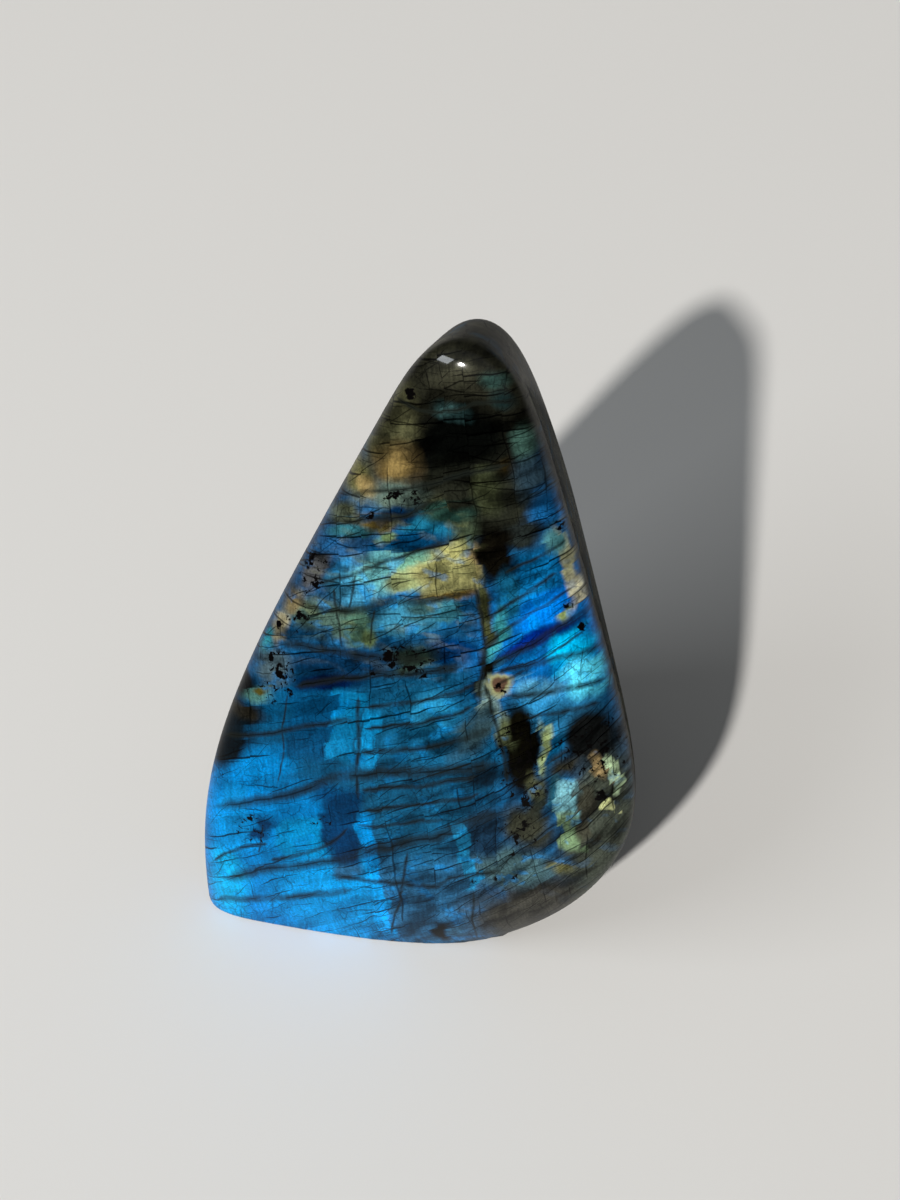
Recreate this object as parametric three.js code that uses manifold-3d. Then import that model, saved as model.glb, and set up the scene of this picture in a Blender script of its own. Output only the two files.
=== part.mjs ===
// Polished labradorite freeform: one natural stone, ground to flats, rounded and
// polished all over, and sawn flat underneath so that it stands upright.
// Millimetres, +Z up. The front is -Y, and the origin is under the middle of the
// stone, on the flat base.

import * as THREE from 'three';
import { mergeVertices } from 'three/addons/utils/BufferGeometryUtils.js';
import Module from 'manifold-3d';

// Height of the point inside the stone that every flat is measured from.
const CORE_HEIGHT = 46;

// The flats that the stone was ground to before its edges were rounded. Each one
// faces a compass angle (0 is +X, 90 is +Y) and leans up or down by a tilt, both in
// degrees, and lies at a distance in mm from the core point.
const FLATS = [
  { name: 'front face', turn: -90, tilt: 28, distance: 44 },
  { name: 'front foot', turn: -90, tilt: -4, distance: 57 },
  { name: 'left shoulder', turn: 165, tilt: 18, distance: 29 },
  { name: 'left side', turn: 170, tilt: 3, distance: 33 },
  { name: 'right side', turn: 20, tilt: 15, distance: 29 },
  { name: 'right undercut', turn: 15, tilt: -20, distance: 32 },
  { name: 'front right undercut', turn: -45, tilt: -40, distance: 67 },
  { name: 'crown', turn: 75, tilt: 65, distance: 69 },
  { name: 'back', turn: 105, tilt: 0, distance: 15 },
  { name: 'back left', turn: 140, tilt: 0, distance: 18 },
  { name: 'back right', turn: 25, tilt: 0, distance: 30 },
  { name: 'underside', turn: 0, tilt: -90, distance: 70 },
];

// How sharply the flats meet: 2 would round them into an egg, and a large number
// would leave sharp edges. 9 gives the soft polished edges of a hand-ground stone.
const EDGE_SHARPNESS = 9;

// The front face and the crown meet in a tighter bend, the brow, than the others do.
const BROW_FLATS = ['front face', 'crown'];
const BROW_SHARPNESS = 30;

// Each of an icosahedron's 20 triangles is divided into (FACE_DIVISIONS + 1) squared.
const FACE_DIVISIONS = 16;

// Rounds of moving each vertex to the middle of its partners, which brings the
// triangles to one size over the narrow crown and the wide foot alike.
const EVENING_ROUNDS = 40;

// The block that the base saw cut takes away.
const SAW_BLOCK_SIDE = 300;

const STONE_COLOUR = 0x24404f;
const STONE_ROUGHNESS = 0.12;

function facing({ turn, tilt }) {
  const across = THREE.MathUtils.degToRad(turn);
  const up = THREE.MathUtils.degToRad(tilt);
  return new THREE.Vector3(
    Math.cos(across) * Math.cos(up),
    Math.sin(across) * Math.cos(up),
    Math.sin(up),
  );
}

const GROUND_FLATS = FLATS.map((flat) => ({
  normal: facing(flat),
  distance: flat.distance,
  onBrow: BROW_FLATS.includes(flat.name),
}));

// Distance from the core point to the rounded surface along one direction.
function reach(direction) {
  let pull = 0;
  let browPull = 0;
  for (const { normal, distance, onBrow } of GROUND_FLATS) {
    const towards = Math.max(0, normal.dot(direction)) / distance;
    if (onBrow) {
      browPull += towards ** BROW_SHARPNESS;
    } else {
      pull += towards ** EDGE_SHARPNESS;
    }
  }
  pull += browPull ** (EDGE_SHARPNESS / BROW_SHARPNESS);
  return pull ** (-1 / EDGE_SHARPNESS);
}

// For each vertex, the vertices that share an edge with it.
function edgePartners(geometry) {
  const partners = Array.from({ length: geometry.getAttribute('position').count }, () => new Set());
  const corners = geometry.index.array;
  for (let i = 0; i < corners.length; i += 3) {
    for (const [from, to] of [[0, 1], [1, 2], [2, 0]]) {
      partners[corners[i + from]].add(corners[i + to]);
      partners[corners[i + to]].add(corners[i + from]);
    }
  }
  return partners;
}

// Puts a point on the rounded surface, in its own direction from the core point.
function ontoSurface(point) {
  point.normalize();
  return point.multiplyScalar(reach(point));
}

function roundedStone() {
  const ball = new THREE.IcosahedronGeometry(1, FACE_DIVISIONS);
  ball.deleteAttribute('normal');
  ball.deleteAttribute('uv');
  const stone = mergeVertices(ball, 1e-5);
  const place = stone.getAttribute('position');
  const partners = edgePartners(stone);
  let points = partners.map((_, i) => ontoSurface(new THREE.Vector3().fromBufferAttribute(place, i)));
  for (let round = 0; round < EVENING_ROUNDS; round += 1) {
    points = points.map((_, i) => {
      const middle = new THREE.Vector3();
      partners[i].forEach((partner) => middle.add(points[partner]));
      return ontoSurface(middle);
    });
  }
  points.forEach((point, i) => place.setXYZ(i, point.x, point.y, point.z + CORE_HEIGHT));
  return stone;
}

function sawBlock() {
  const block = new THREE.BoxGeometry(SAW_BLOCK_SIDE, SAW_BLOCK_SIDE, SAW_BLOCK_SIDE);
  block.translate(0, 0, -SAW_BLOCK_SIDE / 2);
  block.deleteAttribute('normal');
  block.deleteAttribute('uv');
  return mergeVertices(block, 1e-5);
}

const wasm = await Module();
wasm.setup();

function toSolid(geometry) {
  return new wasm.Manifold(new wasm.Mesh({
    numProp: 3,
    vertProperties: Float32Array.from(geometry.getAttribute('position').array),
    triVerts: Uint32Array.from(geometry.index.array),
  }));
}

function toGeometry(solid) {
  const mesh = solid.getMesh();
  const geometry = new THREE.BufferGeometry();
  geometry.setAttribute('position', new THREE.BufferAttribute(mesh.vertProperties, 3));
  geometry.setIndex(new THREE.BufferAttribute(mesh.triVerts, 1));
  return geometry;
}

// The stone with its base sawn flat, moved so that the origin is under its middle.
function sawnStone() {
  const geometry = toGeometry(toSolid(roundedStone()).subtract(toSolid(sawBlock())));
  geometry.computeBoundingBox();
  const middle = geometry.boundingBox.getCenter(new THREE.Vector3());
  geometry.translate(-middle.x, -middle.y, 0);
  geometry.computeVertexNormals();
  return geometry;
}

const polishedFeldspar = new THREE.MeshStandardMaterial({
  color: STONE_COLOUR,
  roughness: STONE_ROUGHNESS,
  metalness: 0,
});

const stone = new THREE.Mesh(sawnStone(), polishedFeldspar);
stone.name = 'polished_labradorite';

const labradorite = new THREE.Group();
labradorite.add(stone);

export default labradorite;
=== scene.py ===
# %% [markdown]
# # A polished labradorite
#
# The object is one stone, about 123 mm tall. It was ground to a few flats, its edges
# were rounded, it was polished all over, and it was sawn flat underneath so that it
# stands. What makes it worth looking at is colour inside the stone: a blue flash, gold
# and teal windows, dark cracks and black grains under a glassy surface. So the lesson
# has two halves: a smooth closed shape, and a material of patches, cracks and grains,
# which are placed in millimetres on the stone's face.

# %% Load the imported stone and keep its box
from math import cos, radians, sin

import bmesh
import bpy
from mathutils import Matrix, Vector, noise


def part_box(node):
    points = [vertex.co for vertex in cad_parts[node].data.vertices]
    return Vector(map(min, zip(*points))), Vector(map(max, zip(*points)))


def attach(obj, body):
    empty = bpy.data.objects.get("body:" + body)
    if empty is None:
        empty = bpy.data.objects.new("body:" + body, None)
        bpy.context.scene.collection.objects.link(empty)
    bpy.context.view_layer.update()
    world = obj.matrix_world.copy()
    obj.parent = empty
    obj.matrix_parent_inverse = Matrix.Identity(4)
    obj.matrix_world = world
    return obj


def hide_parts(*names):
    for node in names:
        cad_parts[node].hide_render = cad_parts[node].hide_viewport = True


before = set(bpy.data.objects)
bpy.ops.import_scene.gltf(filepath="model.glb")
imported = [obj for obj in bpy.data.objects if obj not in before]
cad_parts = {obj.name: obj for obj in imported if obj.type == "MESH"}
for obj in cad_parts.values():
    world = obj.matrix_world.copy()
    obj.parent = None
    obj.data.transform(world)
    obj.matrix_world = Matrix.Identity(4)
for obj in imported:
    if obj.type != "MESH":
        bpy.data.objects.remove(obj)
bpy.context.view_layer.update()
low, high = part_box("polished_labradorite")
print("the stone's box in mm:", [round(1000 * side, 1) for side in high - low])

# %% [markdown]
# ## The camera
#
# The stone is seen from above and a little from the right. A point to look at, a
# direction to look from and a distance are easier to reason about than a place and three
# rotations, so the camera's matrix is put together from its own right, up and backward
# directions. The lights are placed in the same way.

# %% Aim the camera
MM = 0.001
CAMERA_TARGET = Vector((-11.5, 58.4, 0)) * MM
CAMERA_FROM = (-77.35, 48.5)
CAMERA_DISTANCE = 549.7 * MM
LENS = 71.9
SENSOR_HEIGHT = 36


def direction(turn, tilt):
    """A unit vector: turn is the compass angle from +X, tilt the angle above level."""
    turn, tilt = radians(turn), radians(tilt)
    return Vector((cos(turn) * cos(tilt), sin(turn) * cos(tilt), sin(tilt)))


def add_to_scene(name, data):
    """A new object with this data, linked to the scene."""
    made = bpy.data.objects.new(name, data)
    bpy.context.scene.collection.objects.link(made)
    return made


def looking_at(target, away, turn, tilt):
    """The matrix of a camera or light that looks at target from one direction."""
    backward = direction(turn, tilt)
    rightward = direction(turn + 90, 0)
    rotation = Matrix((rightward, backward.cross(rightward), backward)).transposed().to_4x4()
    return Matrix.Translation(target + backward * away) @ rotation


camera = add_to_scene("camera", bpy.data.cameras.new("camera"))
camera.data.sensor_fit = "VERTICAL"
camera.data.sensor_height = SENSOR_HEIGHT
camera.data.lens = LENS
camera.matrix_world = looking_at(CAMERA_TARGET, CAMERA_DISTANCE, *CAMERA_FROM)
bpy.context.scene.camera = camera
print("camera at, in mm:", [round(1000 * c) for c in camera.matrix_world.translation])

# %% [markdown]
# ## The shape
#
# A hand-ground stone is a handful of flats with soft edges between them. Each flat is
# a direction and a distance from a point inside the stone. For a direction d, every
# flat says how near its plane is. A power sum takes nearly the nearest of them, and
# rounds the edges where two are about as near. A lower power gives a softer stone. The
# face and the crown meet in a tighter bend, the brow, so those two are summed with a
# higher power of their own first.

# %% The flats and the distance to the surface
CORE_HEIGHT = 46
EDGE_SHARPNESS = 9
BROW_SHARPNESS = 30
BROW_FLATS = ("front face", "crown")
FLATS = {
    "front face": (-90, 28, 44),
    "front foot": (-90, -4, 57),
    "left shoulder": (165, 18, 29),
    "left side": (170, 3, 33),
    "right side": (20, 15, 29),
    "right undercut": (15, -20, 32),
    "front right undercut": (-45, -40, 67),
    "crown": (75, 65, 69),
    "back": (105, 0, 15),
    "back left": (140, 0, 18),
    "back right": (25, 0, 30),
    "underside": (0, -90, 70),
}
ground = [
    (direction(turn, tilt), away, name in BROW_FLATS) for name, (turn, tilt, away) in FLATS.items()
]


def reach(towards):
    """How far the surface is from the core point, in mm, in one direction."""
    pull = 0
    brow_pull = 0
    for normal, away, on_brow in ground:
        near = max(0, normal.dot(towards)) / away
        if on_brow:
            brow_pull += near ** BROW_SHARPNESS
        else:
            pull += near ** EDGE_SHARPNESS
    pull += brow_pull ** (EDGE_SHARPNESS / BROW_SHARPNESS)
    return pull ** (-1 / EDGE_SHARPNESS)


print(f"{len(FLATS)} flats, and straight up the surface is {reach(Vector((0, 0, 1))):.1f} mm away")

# %% [markdown]
# An icosphere has even triangles and no poles, so it is the right ball to push out to
# that surface. Pushing stretches the triangles over the crown and crowds them on the
# flat back, so the points are relaxed towards their neighbours and pushed out again,
# first on a coarse ball and then on finer ones. Polishing by hand leaves the flats very
# slightly wavy, which bends reflections, so the last push adds a little noise.

# %% Push an icosphere out to the stone's surface
RELAXING_ROUNDS = (40, 4, 2)
WAVE_HEIGHT = 0.05
WAVE_LENGTH = 19

shape = bmesh.new()
bmesh.ops.create_icosphere(shape, subdivisions=5, radius=1)


def push_out(wave_height=0):
    """Puts every point of the ball on the surface, in its own direction."""
    for vert in shape.verts:
        towards = vert.co.normalized()
        away = reach(towards)
        wave = wave_height * noise.noise(towards * away / WAVE_LENGTH)
        vert.co = towards * (away + wave)


for finer, rounds in enumerate(RELAXING_ROUNDS):
    if finer:
        bmesh.ops.subdivide_edges(shape, edges=shape.edges, cuts=1, use_grid_fill=True)
    push_out()
    for _ in range(rounds):
        bmesh.ops.smooth_vert(
            shape, verts=shape.verts, factor=0.5, use_axis_x=True, use_axis_y=True, use_axis_z=True
        )
        push_out()
push_out(WAVE_HEIGHT)
bmesh.ops.translate(shape, verts=shape.verts, vec=(0, 0, CORE_HEIGHT))
print(len(shape.verts), "points pushed out,", len(shape.faces), "triangles")

# %% [markdown]
# The saw took the underside off flat, and the cut's rim was eased by hand. The stone is
# cut a little above the table, and the open rim is extruded downwards and inwards in a
# quarter turn, and then closed with one flat face.

# %% Saw the base and ease its rim
RIM_RADIUS = 0.9
RIM_STEPS = 5
BASE_RADIUS = 34
MERGE_WITHIN = 0.3

bmesh.ops.bisect_plane(
    shape,
    geom=shape.verts[:] + shape.edges[:] + shape.faces[:],
    dist=MERGE_WITHIN,
    plane_co=(0, 0, RIM_RADIUS),
    plane_no=(0, 0, 1),
    clear_inner=True,
)
rim = [edge for edge in shape.edges if edge.is_boundary]
rim_points = {vert for edge in rim for vert in edge.verts}
for vert in rim_points:
    vert.co.z = RIM_RADIUS
bmesh.ops.remove_doubles(shape, verts=list(rim_points), dist=MERGE_WITHIN)
rim = [edge for edge in shape.edges if edge.is_boundary]
inset_before = 0
for step in range(1, RIM_STEPS + 1):
    quarter = radians(90 * step / RIM_STEPS)
    made = bmesh.ops.extrude_edge_only(shape, edges=rim)["geom"]
    rim = [part for part in made if isinstance(part, bmesh.types.BMEdge) and part.is_boundary]
    rim_points = {vert for edge in rim for vert in edge.verts}
    inset = RIM_RADIUS * (1 - cos(quarter))
    shrink = (BASE_RADIUS - inset) / (BASE_RADIUS - inset_before)
    middle = sum((vert.co for vert in rim_points), Vector()) / len(rim_points)
    for vert in rim_points:
        vert.co = middle + (vert.co - middle) * shrink
        vert.co.z = RIM_RADIUS * (1 - sin(quarter))
    inset_before = inset
bmesh.ops.holes_fill(shape, edges=rim)
print(len(rim), "edges round the sawn base")

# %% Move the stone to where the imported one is
by_axis = [[vert.co[axis] for vert in shape.verts] for axis in range(3)]
middle_x, middle_y = ((min(places) + max(places)) / 2 for places in by_axis[:2])
cad_middle = (low + high) / 2
bmesh.ops.translate(shape, verts=shape.verts, vec=(-middle_x, -middle_y, -min(by_axis[2])))
bmesh.ops.scale(shape, verts=shape.verts, vec=(MM, MM, MM))
bmesh.ops.translate(shape, verts=shape.verts, vec=(cad_middle.x, cad_middle.y, low.z))
bmesh.ops.recalc_face_normals(shape, faces=shape.faces)
for face in shape.faces:
    face.smooth = True
open_edges = sum(not edge.is_manifold for edge in shape.edges)
stone_mesh = bpy.data.meshes.new("labradorite_stone")
shape.to_mesh(stone_mesh)
shape.free()
stone = add_to_scene("labradorite_stone", stone_mesh)
print("stone's size in mm:", [round(1000 * side, 1) for side in stone.dimensions])
print("open or doubled edges:", open_edges)

# %% [markdown]
# ## Shader sums
#
# The look is built from hundreds of small nodes, which are easier to read as sums. A
# Wire is one output of a node, and a sum on wires adds Math nodes. Every other node
# comes from the node method of a Recipe, which sets the node's own settings first and
# then its sockets, each to a value or to another wire.

# %% The wire and the recipe
class Wire:
    """One output socket. Sums on it add Math nodes to the same recipe."""

    def __init__(self, recipe, socket):
        self.recipe = recipe
        self.socket = socket

    def math(self, operation, first, second=0.0):
        return self.recipe.node("ShaderNodeMath", {"operation": operation}, {0: first, 1: second})

    def output(self, name):
        """Another output of the same node."""
        return Wire(self.recipe, self.socket.node.outputs[name])

    def __add__(self, other):
        return self.math("ADD", self, other)

    def __radd__(self, other):
        return self.math("ADD", other, self)

    def __sub__(self, other):
        return self.math("SUBTRACT", self, other)

    def __rsub__(self, other):
        return self.math("SUBTRACT", other, self)

    def __mul__(self, other):
        return self.math("MULTIPLY", self, other)

    def __rmul__(self, other):
        return self.math("MULTIPLY", other, self)

    def __truediv__(self, other):
        return self.math("DIVIDE", self, other)

    def __rtruediv__(self, other):
        return self.math("DIVIDE", other, self)

    def __abs__(self):
        return self.math("ABSOLUTE", self)


class Recipe:
    """The node tree of one material or world."""

    def __init__(self, owner):
        owner.use_nodes = True
        self.tree = owner.node_tree
        self.tree.nodes.clear()

    def node(self, kind, settings, inputs, output=0):
        """Adds a node. Gives back one of its outputs, or the node if it has none."""
        made = self.tree.nodes.new(kind)
        for name, value in settings.items():
            if name == "curve":
                self.bend(made.mapping, value)
            else:
                setattr(made, name, value)
        for name, value in inputs.items():
            if isinstance(value, Wire):
                self.tree.links.new(value.socket, made.inputs[name])
            else:
                made.inputs[name].default_value = value
        return Wire(self, made.outputs[output]) if made.outputs else made

    def bend(self, mapping, points):
        """Gives a Float Curve node its points, which run from 0 to 1 both ways."""
        line = mapping.curves[0]
        while len(line.points) < len(points):
            line.points.new(0.5, 0.5)
        for point, place in zip(line.points, points):
            point.location = place
        mapping.update()


def larger(first, second):
    return first.math("MAXIMUM", first, second)


def ramp(value, start, end, low_value, high_value, kind="LINEAR"):
    """low_value before start, high_value after end, and a straight line between them."""
    inputs = {"Value": value, 1: start, 2: end, 3: low_value, 4: high_value}
    return value.recipe.node("ShaderNodeMapRange", {"interpolation_type": kind}, inputs)


def smooth(value, start, end):
    """0 before start, 1 after end, and an even S between them. Start may be the larger."""
    return ramp(value, start, end, 0, 1, "SMOOTHSTEP")


def vector_math(operation, first, second, output=0):
    settings = {"operation": operation}
    return first.recipe.node("ShaderNodeVectorMath", settings, {0: first, 1: second}, output)


def mapped(vector, location=(0, 0, 0), rotation=(0, 0, 0), scale=(1, 1, 1)):
    inputs = {"Vector": vector, "Location": location, "Rotation": rotation, "Scale": scale}
    return vector.recipe.node("ShaderNodeMapping", {}, inputs)


def blend_colours(share, first, second):
    """first where share is 0, second where it is 1. Colours are sockets 6 and 7."""
    inputs = {0: share, 6: first, 7: second}
    return share.recipe.node("ShaderNodeMix", {"data_type": "RGBA"}, inputs, 2)


def cloud(vector, scale, detail=2.0, dimensions="2D", output=0):
    """Soft noise, 0 to 1, or a colour of it with output 1."""
    settings = {"noise_dimensions": dimensions}
    inputs = {"Vector": vector, "Scale": scale, "Detail": detail}
    return vector.recipe.node("ShaderNodeTexNoise", settings, inputs, output)


print("shader helpers ready")

# %% [markdown]
# Colours are written as they look on a screen, 0 to 255, under this scene's light. A
# base colour is the share of light that comes back, so each is turned to linear light
# and divided by how brightly the lights strike the face.

# %% Paint
FACE_LIGHT = 1.42


def linear(value):
    """A screen value, 0 to 255, as linear light."""
    value = value / 255
    return value / 12.92 if value < 0.04045 else ((value + 0.055) / 1.055) ** 2.4


def paint(*screen):
    return (*(linear(value) / FACE_LIGHT for value in screen), 1)


print("azure as a base colour:", [round(part, 2) for part in paint(0, 160, 255)])

# %% [markdown]
# ## Places on the face
#
# Labradorite's colours lie in a sheet inside the stone. Here the sheet leans back 35
# degrees, a little more than the face does, and a place on it is u, across, and v, up
# the face from the front edge of the base, in millimetres. A Mapping node turns the
# stone's own coordinates into those. Noise then shifts the places a little, so that
# nothing has a drawn outline.

# %% Coordinates on the leaning sheet
SHEET_TILT = 35
SHEET_START = 21
CRACK_BENDS = (16, 1.5, 3.0)

labradorite = bpy.data.materials.new("polished_labradorite")
look = Recipe(labradorite)
coordinates = look.node("ShaderNodeTexCoord", {}, {}, "Object")
on_sheet = mapped(
    coordinates,
    location=(0, SHEET_START, 0),
    rotation=(radians(SHEET_TILT - 90), 0, 0),
    scale=(1 / MM, 1 / MM, 1 / MM),
)
flat_place = vector_math("MULTIPLY", on_sheet, (1, 1, 0))


def shifted(place, random_colour, by):
    """place moved at most by millimetres each way, as a random colour says."""
    shift = vector_math("SUBTRACT", random_colour, (0.5, 0.5, 0.5))
    return vector_math("ADD", place, vector_math("MULTIPLY", shift, (2 * by, 2 * by, 0)))


def shaken(place, size, by, detail=2.0):
    """place shifted at most by millimetres by noise, in waves size millimetres long."""
    return shifted(place, cloud(place, 1 / size, detail, output=1), by)


crack_place = shaken(flat_place, *CRACK_BENDS)
apart = look.node("ShaderNodeSeparateXYZ", {}, {0: crack_place}, "X")
u, v = apart, apart.output("Y")
print("face coordinates ready")

# %% [markdown]
# The stone is a stack of thin twinned layers. Their borders cross the face in
# near-parallel lines that rise to the right, flatter at the upper left and steepest on
# the right side, and upright borders cut across them. A Voronoi texture in one dimension
# gives slices of uneven thickness, each with its own random colour, and the distance to
# their borders draws cracks along the same lines. Each slice shifts what shows in it by
# its own small amount, so that the colours step where two twins meet, and the layers
# themselves step at the upright borders.

# %% Layers and upright blocks
CRACK_RISE = 0.67
RISE_LOST_UPWARDS = 0.0037
RISE_GROWTH = 0.0032
STEEPER_FROM = 8
STEEPER_GROWTH = 0.011
GRAIN_LEAN = 0.17
GRAIN_WANDER = 4
GRAIN_WAVE = 20
LAYER = 3.4
BLOCK = 5.4
LAYER_SHIFT = 0.9
BLOCK_SHIFT = 0.4
LAYER_STEP = 0.7
BROAD_BENDS = (9, 1.5, 3.0)
SMALL_BENDS = (1.6, 0.4)


def slices(across, thickness, feature="F1", output="Color"):
    """Slices about as thick as thickness, in mm, or the distance to their borders."""
    settings = {"voronoi_dimensions": "1D", "feature": feature}
    inputs = {"W": across / thickness, "Scale": 1}
    return look.node("ShaderNodeTexVoronoi", settings, inputs, output)


def first_of(colour):
    """The red part of a colour, as a random number for each slice."""
    return look.node("ShaderNodeSeparateColor", {}, {0: colour})


def stretched(place, length, height):
    """place divided so that a noise on it is length by height millimetres."""
    return vector_math("DIVIDE", place, (length, height, 1))


across_grain = u + v * GRAIN_LEAN + GRAIN_WANDER * cloud(flat_place, 1 / GRAIN_WAVE, 1.0)
block_colour = slices(across_grain, BLOCK)
block_random = first_of(block_colour)
step = LAYER_STEP * (block_random - 0.5)
crack_lift = u * (CRACK_RISE - RISE_LOST_UPWARDS * v + RISE_GROWTH * u)
at_right = larger(u - STEEPER_FROM, 0)
crack_lift = crack_lift + at_right * at_right * STEEPER_GROWTH
across_layers = v - crack_lift + step
layer_colour = slices(across_layers, LAYER)
layer_random = first_of(layer_colour)
along_cracks = look.node("ShaderNodeCombineXYZ", {}, {0: u, 1: across_layers})
along_grain = look.node("ShaderNodeCombineXYZ", {}, {0: across_grain, 1: v})
patch_place = shaken(shaken(flat_place, *BROAD_BENDS), *SMALL_BENDS)
patch_place = shifted(patch_place, layer_colour, LAYER_SHIFT)
patch_place = shifted(patch_place, block_colour, BLOCK_SHIFT)
print("layers about", LAYER, "mm thick and blocks about", BLOCK, "mm wide")

# %% [markdown]
# ## The patches of colour
#
# Each patch is a soft oval: its middle's u and v, how wide and tall it is, how far it is
# turned, how soft its border is, and its colour. Large fields come first and small ones
# over them, as a painter would lay them.

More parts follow.
